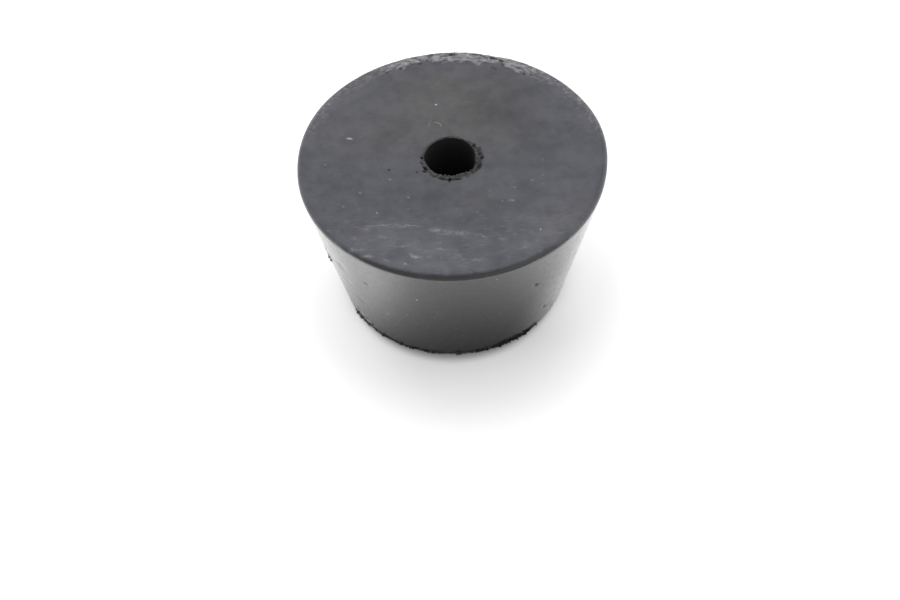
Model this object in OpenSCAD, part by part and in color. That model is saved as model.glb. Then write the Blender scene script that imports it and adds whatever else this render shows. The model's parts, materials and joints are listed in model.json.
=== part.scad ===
// Tapered rubber foot, moulded in one piece. It stands on its narrow end with
// the wide mounting face up, and is fastened through its middle by a screw
// whose head sits in a recess above the floor.

/* [Body] */
// Diameter of the wide end, at the mounting face
wide_d = 45; // [36:0.5:60]
// Diameter of the narrow end, where the side meets the floor
narrow_d = 35; // [28:0.5:44]
// Height from the floor to the mounting face
height = 24.5; // [20:0.5:40]
// Radius of the rounded rim round the mounting face
rim_r = 0.8; // [0.2:0.1:2]

/* [Flash] */
// How far the trimmed moulding flash stands out from the side, at its top edge
flash_out = 0.1; // [0.05:0.05:0.4]
// Height of the flash above the floor
flash_h = 0.5; // [0.2:0.1:1]

/* [Screw hole] */
// Diameter of the hole for the screw's shank
hole_d = 7.4; // [4:0.2:10]
// Width of the torn band where the hole breaks through the mounting face
mouth_w = 0.8; // [0.2:0.1:2]
// Depth of the torn band
mouth_depth = 0.4; // [0.1:0.1:1]

/* [Head recess] */
// Diameter of the screw's head
head_d = 11; // [11:0.5:16]
// Clearance round the screw's head, on the radius
head_clearance = 1; // [0.5:0.1:2]
// Depth from the floor up to the face that the screw's head clamps
recess_depth = 12; // [4:0.5:16]
// Radius that the corner of the recess is moulded with
recess_corner_r = 1; // [0.2:0.1:2]

/* [Hidden] */
$fn = 96;
rubber = [0.2, 0.2, 0.205];

// How far a cutting shape runs past the face that it opens
past = 1;
wide_r = wide_d / 2;
narrow_r = narrow_d / 2;
hole_r = hole_d / 2;
recess_r = head_d / 2 + head_clearance;

// The rim is a full round of rim_r that touches the mounting face and the side.
rim_centre = [wide_r - rim_r, height - rim_r];
// The side is the straight line from the narrow end that touches that round.
side_base = [narrow_r, 0];
to_rim = rim_centre - side_base;
side_run = sqrt(to_rim * to_rim - rim_r * rim_r);
side_angle = atan2(to_rim.y, to_rim.x) - asin(rim_r / norm(to_rim));
side_top = side_base + side_run * [cos(side_angle), sin(side_angle)];
// The flash stands out from the side, so it follows the taper.
flash_r = narrow_r + flash_h / tan(side_angle) + flash_out;

// Half section of the tapered body, with its rounded rim
module body_section() {
    polygon([
        [0, 0], side_base, side_top,
        rim_centre, [rim_centre.x, height], [0, height]
    ]);
    translate(rim_centre)
        circle(r = rim_r);
}

// Thin ring of flash, left where the mould closed at the narrow end
module flash_ring() {
    cylinder(r = flash_r, h = flash_h);
}

// Shank hole from the recess to the mounting face, with its torn mouth
module screw_hole() {
    translate([0, 0, recess_depth - past])
        cylinder(r = hole_r, h = height - recess_depth + 2 * past);
    translate([0, 0, height - mouth_depth])
        cylinder(r1 = hole_r, r2 = hole_r + mouth_w, h = mouth_depth);
    translate([0, 0, height])
        cylinder(r = hole_r + mouth_w, h = past);
}

// Half section of the head recess, open at the floor, with a rounded inner corner
module recess_section() {
    translate([0, -past])
        square([recess_r, past + recess_depth - recess_corner_r]);
    square([recess_r - recess_corner_r, recess_depth]);
    translate([recess_r - recess_corner_r, recess_depth - recess_corner_r])
        circle(r = recess_corner_r);
}

module rubber_foot() {
    color(rubber)
        difference() {
            union() {
                rotate_extrude()
                    body_section();
                flash_ring();
            }
            screw_hole();
            rotate_extrude()
                recess_section();
        }
}

rubber_foot();
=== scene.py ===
"""A tapered rubber foot, standing on a plain studio floor.

The foot is one moulding. Half its section is drawn and spun round the axis, the places where the
rubber tore are worked finer and roughened, listed nicks are pressed in, and one rubber finish
dresses it all over. Lengths are in metres, and MM turns a size in millimetres into them.
"""

import contextlib
import json
import logging
import math
from dataclasses import dataclass
from enum import Enum
from typing import Callable, Iterator, Optional, Union

import bmesh
import bpy
import numpy as np
from mathutils import Matrix, Vector
from mathutils.kdtree import KDTree

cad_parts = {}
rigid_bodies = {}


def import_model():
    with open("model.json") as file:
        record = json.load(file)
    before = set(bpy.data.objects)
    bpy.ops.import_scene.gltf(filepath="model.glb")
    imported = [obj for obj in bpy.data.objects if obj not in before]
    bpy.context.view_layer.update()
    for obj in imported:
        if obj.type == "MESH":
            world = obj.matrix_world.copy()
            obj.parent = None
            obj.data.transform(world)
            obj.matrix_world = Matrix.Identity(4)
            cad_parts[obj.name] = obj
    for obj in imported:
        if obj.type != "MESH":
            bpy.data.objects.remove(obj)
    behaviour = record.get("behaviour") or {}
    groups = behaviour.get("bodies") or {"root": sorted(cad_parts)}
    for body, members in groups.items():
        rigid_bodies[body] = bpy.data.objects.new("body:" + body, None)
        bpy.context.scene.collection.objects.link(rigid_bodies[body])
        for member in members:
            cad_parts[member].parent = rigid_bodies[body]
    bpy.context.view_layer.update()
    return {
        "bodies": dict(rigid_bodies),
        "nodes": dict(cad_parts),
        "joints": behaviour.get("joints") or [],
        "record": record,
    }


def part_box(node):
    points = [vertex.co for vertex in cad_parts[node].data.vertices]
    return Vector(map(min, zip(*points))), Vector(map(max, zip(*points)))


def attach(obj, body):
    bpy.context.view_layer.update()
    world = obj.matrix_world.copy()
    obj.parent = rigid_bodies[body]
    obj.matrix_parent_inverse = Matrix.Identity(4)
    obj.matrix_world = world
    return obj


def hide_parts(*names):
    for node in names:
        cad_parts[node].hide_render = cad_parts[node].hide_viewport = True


MM = 0.001
TOUCH = 0.01 * MM
LEAST_WEIGHT = 0.001
ORIGIN = (0, 0, 0)
NODE = "rubber_foot"
BODY = "root"
LOG = logging.getLogger("rubber_foot")


class Zone(Enum):
    """A place where the rubber tore. Each is a vertex group, and a layer that the finish reads."""

    RIM = "torn_rim"
    MOUTH = "torn_mouth"
    FLASH = "torn_flash"


class Grain(Enum):
    """The kinds of roughness that a tear leaves."""

    LUMPS = "CLOUDS"
    CRUMBS = "VORONOI"


class Face(Enum):
    """The faces that carry marks: the top is marked by x and y, the side by angle and height."""

    TOP = "top"
    SIDE = "side"


class Tone(Enum):
    """What a mark does to the rubber."""

    PALE = "pale"
    # Dark specks, and painted shade at dents, pits and the nib.
    DARK = "dark"
    WARM = "warm"
    SHADE = "shade"


class Spread(Enum):
    """The kinds of mark, each with the share of its half size over which it fades."""

    FLECK = 0.6
    SCUFF = 0.95
    PATCH = 1.0


# ---------------------------------------------------------------------------------------------
# Working on a mesh
# ---------------------------------------------------------------------------------------------


def pick(piece: bpy.types.Object) -> None:
    """Makes a piece the only selected object, and the active one."""
    bpy.ops.object.select_all(action="DESELECT")
    piece.select_set(True)
    bpy.context.view_layer.objects.active = piece


@contextlib.contextmanager
def editing(piece: bpy.types.Object) -> Iterator[None]:
    """Edit mode on one piece, with nothing selected to begin with."""
    pick(piece)
    bpy.ops.object.mode_set(mode="EDIT")
    bpy.ops.mesh.select_all(action="DESELECT")
    yield
    bpy.ops.object.mode_set(mode="OBJECT")


def choose(piece: bpy.types.Object, kind: str, wanted: Callable[[Vector], bool]) -> None:
    """Selects the points or faces of a piece in edit mode whose middle lies where it is wanted.

    Args:
        piece: The mesh object, in edit mode.
        kind: "VERT" or "FACE".
        wanted: Says of a place whether it is wanted.
    """
    bpy.ops.mesh.select_mode(type=kind)
    bpy.ops.mesh.select_all(action="DESELECT")
    shape = bmesh.from_edit_mesh(piece.data)
    for part in shape.verts if kind == "VERT" else shape.faces:
        if wanted(part.co if kind == "VERT" else part.calc_center_median()):
            part.select_set(True)
    shape.select_flush_mode()
    bmesh.update_edit_mesh(piece.data)


def displace(piece: bpy.types.Object, group: str, strength: float, middle: float,
             **settings: object) -> None:
    """Moves the points of a vertex group with a displace modifier, and applies it.

    Args:
        piece: The mesh object.
        group: The vertex group's name.
        strength: How far a point of full weight moves.
        middle: The texture's value that leaves a point where it is.
        settings: Other properties of the modifier.
    """
    move = piece.modifiers.new("displace", "DISPLACE")
    move.vertex_group = group
    move.strength = strength
    move.mid_level = middle
    for name, value in settings.items():
        setattr(move, name, value)
    bpy.context.view_layer.objects.active = piece
    bpy.ops.object.modifier_apply(modifier=move.name)


def near(target: float) -> Callable[[float], bool]:
    """A test for a number that touches a target."""
    return lambda value: abs(value - target) < TOUCH


def smooth_step(low: float, high: float, values: np.ndarray) -> np.ndarray:
    """Runs smoothly from 0 at low to 1 at high, which may be the lower one."""
    share = np.clip((values - low) / (high - low), 0.0, 1.0)
    return share * share * (3.0 - 2.0 * share)


class Places:
    """A shell's points: x, y, z, the distance r from the axis, and two angles in degrees.

    The way runs from -180 to 180, and the turn from 0 to 360.
    """

    def __init__(self, points: np.ndarray) -> None:
        """Takes apart the points, one row each."""
        self.x, self.y, self.z = points.T
        self.r = np.hypot(self.x, self.y)
        self.way = np.degrees(np.arctan2(self.y, self.x))
        self.turn = self.way % 360


# ---------------------------------------------------------------------------------------------
# The foot
# ---------------------------------------------------------------------------------------------


@dataclass(frozen=True)
class FootSizes:
    """The sizes of the moulding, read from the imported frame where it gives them."""

    wide_r: float
    floor_r: float
    height: float
    hole_r: float
    recess_r: float
    recess_depth: float
    rim_r: float = 0.8 * MM
    flash_h: float = 0.38 * MM
    flash_under: float = 0.40 * MM
    flash_w: float = 0.2 * MM
    mouth_w: float = 0.75 * MM
    mouth_depth: float = 0.12 * MM
    corner_r: float = 1.0 * MM

    @classmethod
    def from_frame(cls, frame: dict) -> "FootSizes":
        """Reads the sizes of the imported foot.


        Returns:
            The sizes of the moulding.
        """
        low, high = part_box(NODE)
        dims = {mount["name"]: mount["dims"] for mount in frame["record"]["mounts"]}
        on_floor = [v.co for v in frame["nodes"][NODE].data.vertices if v.co.z < low.z + TOUCH]
        recess = dims["head_recess"]
        return cls(
            wide_r=(high.x - low.x) / 2,
            floor_r=max(math.hypot(co.x, co.y) for co in on_floor),
            height=high.z - low.z,
            hole_r=dims["screw_hole"]["r_mm"] * MM,
            recess_r=recess["r_mm"] * MM,
            recess_depth=recess["length_mm"] * MM + cls.corner_r,
        )


@dataclass(frozen=True)
class Arc:
    """A stretch of the round, in degrees, that fades in and out at its ends."""

    start: float
    full_from: float
    full_to: float
    end: float
    strength: float = 1.0

    def weight(self, angles: np.ndarray) -> np.ndarray:
        """How strongly each angle lies in the arc, from 0 to the arc's strength."""
        rise = smooth_step(self.start, self.full_from, angles)
        return self.strength * rise * smooth_step(self.end, self.full_to, angles)


def strongest(arcs: tuple[Arc, ...], angles: np.ndarray) -> np.ndarray:
    """The greatest weight that any of the arcs gives each angle."""
    return np.max([arc.weight(angles) for arc in arcs], axis=0)


def total(arcs: tuple[Arc, ...], angles: np.ndarray) -> np.ndarray:
    """The sum of the weights that the arcs give each angle."""
    return sum(arc.weight(angles) for arc in arcs)


@dataclass(frozen=True)
class Roughening:
    """One layer of roughness in a torn zone.

    Sizes are in millimetres. Middle is the texture's value that leaves the surface where it is.
    """

    zone: Zone
    grain: Grain
    size: float
    depth: float
    middle: float = 0.5

    def apply(self, piece: bpy.types.Object) -> None:
        """Roughens a piece along its normals, within the zone's vertex group."""
        texture = bpy.data.textures.new("tear", self.grain.value)
        texture.noise_scale = self.size * MM
        if self.grain is Grain.CRUMBS:
            texture.weight_1 = -1.0
            texture.weight_2 = 1.0
            texture.noise_intensity = 2.0
        else:
            texture.noise_depth = 2
        displace(piece, self.zone.value, self.depth * MM, self.middle,
                 texture=texture, texture_coords="LOCAL")
        bpy.data.textures.remove(texture)


@dataclass(frozen=True)
class Nick:
    """A dent or nib, pressed in where push is below 0 and out where it is above.

    The angle is in degrees round the axis, and the other sizes are in millimetres. The length runs
    round the axis. A radial nick is pushed straight out from the axis, not along the normal.
    """

    angle: float
    radius: float
    height: float
    push: float
    reach: float = 0.35
    length: float = 0.0
    radial: bool = False

    def press(self, piece: bpy.types.Object, tree: KDTree) -> None:
        """Moves the points at the nick, and their surroundings with them.

        Args:
            piece: The mesh object, in edit mode.
            tree: Finds the piece's points by their place.
        """
        turn = math.radians(self.angle)
        outward = Vector((math.cos(turn), math.sin(turn), 0))
        along = Vector((-outward.y, outward.x, 0))
        place = (outward * self.radius + Vector((0, 0, self.height))) * MM
        shape = bmesh.from_edit_mesh(piece.data)
        shape.verts.ensure_lookup_table()
        found = [tree.find(place)[1]]
        for co, index, _ in tree.find_range(place, self.length / 2 * MM):
            aside = (co - place) - along * (co - place).dot(along)
            if aside.length < 10 * TOUCH:
                found.append(index)
        direction = outward if self.radial else shape.verts[found[0]].normal
        move = direction * self.push * MM
        bpy.ops.mesh.select_all(action="DESELECT")
        for index in found:
            shape.verts[index].select_set(True)
        shape.select_flush_mode()
        bmesh.update_edit_mesh(piece.data)
        bpy.ops.transform.translate(
            value=move,
            use_proportional_edit=True,
            proportional_edit_falloff="SMOOTH",
            proportional_size=self.reach * MM,
        )


PITS = (
    # Round the far rim.
    (118.2, 21.2, 24.5, -0.12, 0.22, 0.9), (116.2, 20.7, 24.5, -0.14, 0.22, 0.7),
    (110.8, 20.6, 24.5, -0.16, 0.20, 0.4), (101.5, 21.5, 24.5, -0.20, 0.20, 0.5),
    (101.8, 20.6, 24.5, -0.15, 0.20, 0.5), (98.5, 21.2, 24.5, -0.22, 0.22, 0.3),
    (96.8, 22.1, 24.5, -0.24, 0.24, 0.8), (90.7, 20.8, 24.5, -0.26, 0.24, 0.7),
    (88.0, 22.0, 24.5, -0.32, 0.28, 0.9), (82.6, 21.6, 24.5, -0.18, 0.20, 0.2),
    (76.2, 20.7, 24.5, -0.18, 0.20, 0.3), (77.5, 22.2, 24.4, -0.22, 0.22, 1.2),
    (70.9, 21.9, 24.5, -0.32, 0.26, 0.9), (67.8, 21.7, 24.5, -0.28, 0.24, 0.6),
    (66.1, 20.9, 24.5, -0.26, 0.22, 0.4), (69.4, 19.8, 24.5, -0.14, 0.20, 0.3),
    (68.2, 19.6, 24.5, -0.14, 0.20, 0.3), (59.8, 21.1, 24.5, -0.26, 0.22, 0.7),
    (55.5, 20.5, 24.5, -0.18, 0.20, 0.4), (52.7, 20.8, 24.5, -0.18, 0.20, 0.6),
    # Round the mouth of the screw hole.
    (-4.7, 3.7, 24.4, -0.20, 0.20), (-3.2, 4.45, 24.5, -0.26, 0.22, 0.3),
    (33.7, 4.05, 24.5, -0.26, 0.20, 0.4), (8.2, 4.1, 24.5, -0.20, 0.20, 0.3),
    (-18.7, 3.75, 24.4, -0.20, 0.20), (-26.5, 4.5, 24.5, -0.20, 0.20, 0.8),
    (19.6, 4.4, 24.5, -0.22, 0.20, 0.5), (177.5, 4.25, 24.5, -0.35, 0.26, 0.2),
    (191.4, 4.5, 24.5, -0.25, 0.20), (206.9, 4.3, 24.5, -0.32, 0.26, 0.5),
    (213.0, 4.75, 24.5, -0.25, 0.20, 0.3), (231.0, 4.45, 24.5, -0.16, 0.18, 0.9),
    (264.0, 4.42, 24.5, -0.30, 0.24, 0.5), (264.0, 4.68, 24.5, -0.28, 0.22, 0.2),
    (300.0, 4.40, 24.5, -0.16, 0.18, 0.7), (-14.3, 4.15, 24.45, -0.20, 0.17),
    (-31.7, 4.16, 24.45, -0.20, 0.17), (-38.9, 4.24, 24.45, -0.20, 0.17),
    (-23.6, 4.28, 24.45, -0.20, 0.17), (32.6, 3.81, 24.45, -0.20, 0.17),
    (17.0, 4.08, 24.45, -0.20, 0.17), (5.1, 4.18, 24.45, -0.20, 0.17),
    (-156.0, 4.25, 24.45, -0.20, 0.17), (-149.8, 4.25, 24.45, -0.20, 0.17),
    (-168.1, 4.4, 24.45, -0.20, 0.17), (-136.7, 4.18, 24.45, -0.20, 0.17),
    (-123.4, 3.97, 24.45, -0.20, 0.17),
    # Dents in the side, with the nib and the rough foot at its left.
    (-57.2, 20.7, 15.7, -0.40, 0.40, 0.5), (-99.2, 20.2, 13.0, -0.10, 0.60),
    (-45.7, 18.7, 5.5, -0.20, 0.40), (-36.7, 17.9, 2.0, -0.10, 0.45),
    (-128.4, 21.0, 17.0, -0.15, 0.40, 0.4), (-124.8, 18.9, 6.7, -0.09, 0.40, 0.3),
    (-154.0, 20.76, 16.1, 0.09, 0.50), (-155.3, 20.49, 14.5, 0.10, 0.30),
    (-155.0, 20.41, 14.1, 0.15, 0.34), (-154.5, 20.34, 13.7, 0.30, 0.40),
    (-154.0, 20.26, 13.3, 0.30, 0.36), (-144.6, 18.25, 3.9, 0.12, 0.60, 0.4),
    (-141.8, 18.15, 3.4, -0.14, 0.50, 0.4), (-142.6, 18.02, 2.5, 0.14, 0.60, 0.4),
    (-139.4, 17.98, 2.5, -0.14, 0.45, 0.4), (-140.2, 17.88, 1.6, 0.14, 0.55, 0.4),
    (-136.6, 17.88, 1.9, -0.12, 0.45, 0.4), (-137.6, 17.80, 1.2, 0.12, 0.50, 0.4),
    (-141.4, 20.90, 16.7, -0.10, 1.60), (-145.6, 20.60, 15.2, 0.06, 1.30),
    (-143.0, 20.00, 12.4, -0.08, 1.50), (-136.0, 19.40, 9.4, -0.07, 1.60),
    # Specks on the top, and bumps in the near rim.
    (-167.6, 9.32, 24.5, -0.16, 0.20, 0.2), (-152.3, 5.70, 24.5, -0.20, 0.18),
    (-46.0, 22.4, 24.0, 0.16, 0.35), (-60.8, 22.4, 24.0, 0.14, 0.35),
    (228.0, 22.4, 24.2, -0.12, 0.40),
)

# The clumps of flash all stand at this distance from the axis, in millimetres.
CLUMP_R = 17.85
CLUMPS = (
    (-149.6, 0.35, 0.10, 0.35, 0.2), (-146.6, 0.35, 0.22, 0.35, 0.5), (-140.2, 0.35, 0.16, 0.35, 1.0),
    (-132.8, 0.35, 0.12, 0.40, 0.8), (-126.4, 0.35, 0.10, 0.40, 0.6), (-119.6, 0.35, 0.10, 0.40, 0.8),
    (-103.3, 0.35, 0.12, 0.35, 0.4), (-100.5, 0.35, 0.14, 0.35, 0.3), (-91.4, 0.35, 0.26, 0.35, 0.3),
    (-80.5, 0.35, 0.14, 0.40, 0.5), (-76.0, 0.35, 0.20, 0.30, 0.4), (-69.8, 0.40, 0.34, 0.32, 0.5),
    (-64.5, 0.40, 0.34, 0.32, 0.6), (-62.7, 0.45, -0.30, 0.28, 0.2), (-60.2, 0.45, 0.38, 0.34, 0.5),
    (-57.6, 0.95, 0.20, 0.30, 0.4), (-55.2, 0.50, 0.40, 0.34, 0.5), (-52.3, 0.70, 0.26, 0.40, 0.5),
    (-47.6, 0.35, 0.32, 0.36, 0.4),
)
NICKS = tuple(Nick(*row) for row in PITS)
NICKS += tuple(Nick(angle, CLUMP_R, *rest, radial=True) for angle, *rest in CLUMPS)


@dataclass
class RubberFoot:
    """The moulding: its sizes, the places where it tore, and the nicks in it.

    Each step of the build works on the piece, which is an outline until it is spun into a shell.
    """

    sizes: FootSizes
    name: str = "foot_moulding"
    segments: int = 240
    ring_gap: float = 0.5 * MM
    fine_gap: float = 0.12 * MM
    rim_band: float = 2.7 * MM
    flash_band: float = 1.8 * MM
    mouth_band: float = 1.8 * MM
    far_rim: tuple[Arc, ...] = (Arc(-15, 22, 60, 85, 0.50), Arc(58, 80, 142, 185, 0.39))
    worn_rim: tuple[Arc, ...] = (
        Arc(2, 18, 62, 76), Arc(60, 78, 104, 112, 0.45), Arc(106, 116, 150, 176, 0.9)
    )
    # Arcs of the rim's rounding, at the sides and back, painted paler as painted light, partly dust, where
    # the rounding faces away from the light.
    dust_and_painted_light_rim: tuple[Arc, ...] = (Arc(-56, -42, 181, 182), Arc(-182, -181, -146, -116))
    mouth_shift: tuple[float, float] = (0.07 * MM, -0.27 * MM)
    mouth_front_in: float = 0.40 * MM
    lip_bends: tuple[Arc, ...] = (
        Arc(-62, -48, -34, -8, 0.34), Arc(-92, -86, -78, -70, 0.12),
        Arc(-176, -166, -150, -134, -0.12), Arc(92, 118, 158, 178, -0.12),
    )
    ring_bends: tuple[Arc, ...] = (Arc(10, 34, 60, 84, -0.34), Arc(-78, -66, -54, -42, -0.18))
    crumbly: tuple[Arc, ...] = (
        Arc(-64, -38, 18, 44), Arc(164, 174, 180, 181),
        Arc(-181, -180, -150, -134), Arc(-136, -120, -74, -60, 0.35),
    )
    groove: Arc = Arc(238, 250, 279, 293)
    groove_depth: float = 0.30 * MM
    bore_shift: tuple[float, float] = (-0.37 * MM, 0.60 * MM)
    rim_arcs: tuple[Arc, ...] = (
        Arc(42, 60, 106, 128), Arc(8, 20, 36, 52, 0.12), Arc(112, 120, 128, 146, 0.22)
    )
    flash_arcs: tuple[Arc, ...] = (
        Arc(204, 211, 306, 316, 0.70), Arc(228, 252, 306, 314, 0.75), Arc(276, 290, 306, 314)
    )
    high_flash: Arc = Arc(284, 294, 310, 318)
    flash_out: float = 0.30 * MM
    foot_shift: float = -0.32 * MM
    fine_spots: tuple[tuple[float, float, float], ...] = (
        (-154.8, 20.4, 13.9), (-141.6, 18.1, 2.6), (-167.6, 9.3, 24.5), (-152.3, 5.7, 24.5)
    )
    fine_reach: float = 1.2 * MM
    tears: tuple[Roughening, ...] = (
        Roughening(Zone.RIM, Grain.LUMPS, 1.3, 0.20, 0.62),
        Roughening(Zone.RIM, Grain.LUMPS, 0.35, 0.14, 0.55),
        Roughening(Zone.MOUTH, Grain.CRUMBS, 0.5, 0.26, 0.6),
        Roughening(Zone.MOUTH, Grain.LUMPS, 0.3, 0.36, 0.58),
        Roughening(Zone.FLASH, Grain.LUMPS, 1.0, 0.38),
        Roughening(Zone.FLASH, Grain.CRUMBS, 0.5, 0.44),
        Roughening(Zone.FLASH, Grain.LUMPS, 0.35, 0.34),
    )
    nicks: tuple[Nick, ...] = NICKS
    fold_angle: float = 50.0
    piece: Optional[bpy.types.Object] = None

    def build(self) -> bpy.types.Object:
        """Models the whole moulding, and gives it without its finish."""
        self.draw_section()
        self.spin_section()
        self.shift_mouth()
        self.work_finer()
        self.raise_rim()
        self.raise_flash()
        self.lean_side()
        smooth, outward = self.read("co"), self.read("normal")
        self.mark_zones(Places(smooth))
        self.press_groove()
        self.press_nicks()
        for tear in self.tears:
            tear.apply(self.piece)
        # How far each point sank below the smooth moulding, in millimetres.
        self.write_layer("sunk", -np.sum((self.read("co") - smooth) * outward, axis=1) / MM)
        self.stand_on_floor()
        self.close()
        return self.piece

    def draw_section(self) -> None:
        """Draws the outline of half the section, in the plane y = 0, with its rings' points."""
        s = self.sizes
        side_foot_r = s.floor_r - s.flash_w
        lean = math.atan2(s.wide_r - side_foot_r, s.height)
        # The rim's round is as long as this on each side of the corner that it takes off.
        tangent = s.rim_r * math.tan((math.pi / 2 + lean) / 2)
        corner_r = s.wide_r + tangent - s.rim_r
        width = corner_r - s.hole_r
        bpy.ops.object.select_all(action="DESELECT")
        bpy.ops.mesh.primitive_plane_add(size=1, rotation=(math.pi / 2, 0, 0))
        self.piece = piece = bpy.context.object
        piece.name = self.name
        bpy.ops.transform.resize(value=(width, 1, s.height))
        bpy.ops.transform.translate(value=(s.hole_r + width / 2, 0, s.height / 2))
        bpy.ops.object.transform_apply(location=True, rotation=True, scale=True)
        at_wide, at_hole = near(corner_r), near(s.hole_r)
        at_floor, at_top = near(0.0), near(s.height)
        with editing(piece):
            # The taper, and the flash at its foot.
            choose(piece, "VERT", lambda co: at_wide(co.x) and at_floor(co.z))
            bpy.ops.transform.translate(value=(side_foot_r - corner_r, 0, 0))
            self.cut(z=1.4 * s.flash_h)
            self.cut(z=s.flash_h)
            choose(piece, "VERT", lambda co: at_floor(co.z) and co.x > s.recess_r)
            bpy.ops.transform.translate(value=(-s.flash_under, 0, 0))
            # The recess for the screw's head.
            self.cut(z=s.recess_depth)
            self.cut(x=s.recess_r)
            choose(piece, "FACE", lambda co: co.x < s.recess_r and co.z < s.recess_depth)
            bpy.ops.mesh.delete(type="FACE")
            # One face, so that the corners can be rounded.
            bpy.ops.mesh.select_all(action="SELECT")
            bpy.ops.mesh.dissolve_faces()
            at_wall, at_seat = near(s.recess_r), near(s.recess_depth)
            choose(piece, "VERT", lambda co: at_wall(co.x) and at_seat(co.z))
            bpy.ops.mesh.bevel(offset=s.corner_r, segments=4, affect="VERTICES")
            choose(piece, "VERT", lambda co: at_wide(co.x) and at_top(co.z))
            bpy.ops.mesh.bevel(offset=tangent, segments=8, affect="VERTICES")
            # The mouth of the screw hole, which flares a little.
            self.cut(z=s.height - s.mouth_depth)
            choose(piece, "VERT", lambda co: at_hole(co.x) and at_top(co.z))
            bpy.ops.transform.translate(value=(s.mouth_w, 0, 0))
            bpy.ops.mesh.select_all(action="SELECT")
            bpy.ops.mesh.dissolve_faces()
            bpy.ops.mesh.select_mode(type="FACE")
            bpy.ops.mesh.select_all(action="SELECT")
            bpy.ops.mesh.delete(type="ONLY_FACE")
            self.divide_outline()

    @staticmethod
    def cut(x: float = 0.0, z: float = 0.0) -> None:
        """Cuts through the whole section at a distance from the axis or at a height."""
        bpy.ops.mesh.select_all(action="SELECT")
        bpy.ops.mesh.bisect(plane_co=(x, 0, z), plane_no=(1, 0, 0) if x else (0, 0, 1))

    def gap_at(self, place: Vector) -> float:
        """The longest edge that may lie at a place on the outline."""
        s = self.sizes
        if place.x < s.hole_r + self.mouth_band and place.z > s.height - self.mouth_band:
            return self.fine_gap
        inside = place.x < s.floor_r - 2 * MM and place.z < s.height - self.mouth_band
        return 2 * self.ring_gap if inside else self.ring_gap

    def divide_outline(self) -> None:
        """Divides the outline's edges until none is longer than its place allows."""
        self.cut(x=self.sizes.hole_r + self.mouth_band)
        self.cut(z=self.sizes.height - self.mouth_band)
        bpy.ops.mesh.select_mode(type="EDGE")
        while True:
            shape = bmesh.from_edit_mesh(self.piece.data)
            wanted = {}
            for edge in shape.edges:
                middle = (edge.verts[0].co + edge.verts[1].co) / 2
                cuts = math.ceil(edge.calc_length() / self.gap_at(middle) - 0.01) - 1
                if cuts > 0:
                    wanted.setdefault(cuts, []).append(edge)
            if not wanted:
                break
            cuts, edges = max(wanted.items())
            bpy.ops.mesh.select_all(action="DESELECT")
            for edge in edges:
                edge.select_set(True)
            shape.select_flush_mode()
            bmesh.update_edit_mesh(self.piece.data)
            bpy.ops.mesh.subdivide(number_cuts=cuts)

    def spin_section(self) -> None:
        """Spins the outline once round the axis and closes the shell."""
        with editing(self.piece):
            bpy.ops.mesh.select_all(action="SELECT")
            bpy.ops.mesh.spin(steps=self.segments, angle=2 * math.pi, center=ORIGIN, axis=(0, 0, 1))
            bpy.ops.mesh.select_all(action="SELECT")
            bpy.ops.mesh.remove_doubles(threshold=0.1 * TOUCH)
            bpy.ops.mesh.normals_make_consistent(inside=False)

    def front(self, at: Places) -> np.ndarray:
        """How far each point lies to the front of the axis, from 0 to 1."""
        return np.clip(-at.y / np.maximum(at.r, self.sizes.hole_r), 0.0, 1.0) ** 2

    def from_mouth(self, at: Places) -> np.ndarray:
        """How far each point lies from the middle of the shifted mouth."""
        x, y = self.mouth_shift
        return np.hypot(at.x - x, at.y - y - self.mouth_front_in * self.front(at))

    def shift_mouth(self) -> None:
        """Moves the screw hole's rough mouth off the axis, and leans the bore within it."""
        s = self.sizes
        at = Places(self.read("co"))
        seat, lip = s.recess_depth, s.height - s.mouth_depth
        on_top = at.z > lip - TOUCH
        wall = (at.r < s.hole_r + TOUCH) * np.clip((at.z - seat) / (lip - seat), 0.0, 1.0)
        ring = on_top * np.clip((s.hole_r + s.mouth_w - at.r) / s.mouth_w, 0.0, 1.0)
        lean = np.maximum(wall, ring)
        outline = smooth_step(s.hole_r + 2 * s.mouth_w, s.hole_r + s.mouth_w, at.r) * on_top
        outline = np.maximum(outline, wall)
        for shift, weights in ((self.mouth_shift, outline), (self.bore_shift, lean)):
            self.push(weights, "X", shift[0])
            self.push(weights, "Y", shift[1])
        # The front of the mouth is squashed towards the hole, and neither edge is quite round.
        outer = smooth_step(s.hole_r + 2.5 * s.mouth_w, s.hole_r + s.mouth_w, at.r)
        outer *= np.clip((at.r - s.hole_r) / s.mouth_w, 0.0, 1.0) * on_top
        self.push(self.front(at) * outer, "Y", self.mouth_front_in)
        lip_out = total(self.lip_bends, at.way) * MM
        ring_out = total(self.ring_bends, at.way) * MM
        self.push_out(lean * lip_out + outer * ring_out)

    def group_points(self, name: str, weights: np.ndarray) -> None:
        """Makes a vertex group of the points that have a weight."""
        group = self.piece.vertex_groups.new(name=name)
        for index in np.flatnonzero(weights > LEAST_WEIGHT):
            group.add([int(index)], float(weights[index]), "REPLACE")

    def push(self, weights: np.ndarray, direction: str, distance: float) -> None:
        """Moves each point one way by its share of a distance.

        Args:
            weights: Each point's share, from 0 to 1.
            direction: "X", "Y" or "NORMAL".
            distance: How far a point of full weight moves.
        """
        self.group_points("push", weights)
        displace(self.piece, "push", distance, 0.0, direction=direction)
        self.piece.vertex_groups.remove(self.piece.vertex_groups["push"])

    def push_out(self, distances: np.ndarray) -> None:
        """Moves each point straight away from the axis, or towards it where the distance is below 0."""
        at = Places(self.read("co"))
        r = np.maximum(at.r, self.sizes.hole_r / 2)
        for direction, share in (("X", at.x / r), ("Y", at.y / r)):
            moves = distances * share
            for way in (1.0, -1.0):
                wanted = np.maximum(way * moves, 0.0)
                if wanted.max() > 0.0:
                    self.push(wanted / wanted.max(), direction, float(way * wanted.max()))

    def work_finer(self) -> None:
        """Divides the faces where the rubber tore, so that they can carry the tears."""
        s = self.sizes
        rim_from, rim_to = 6, 168

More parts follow.
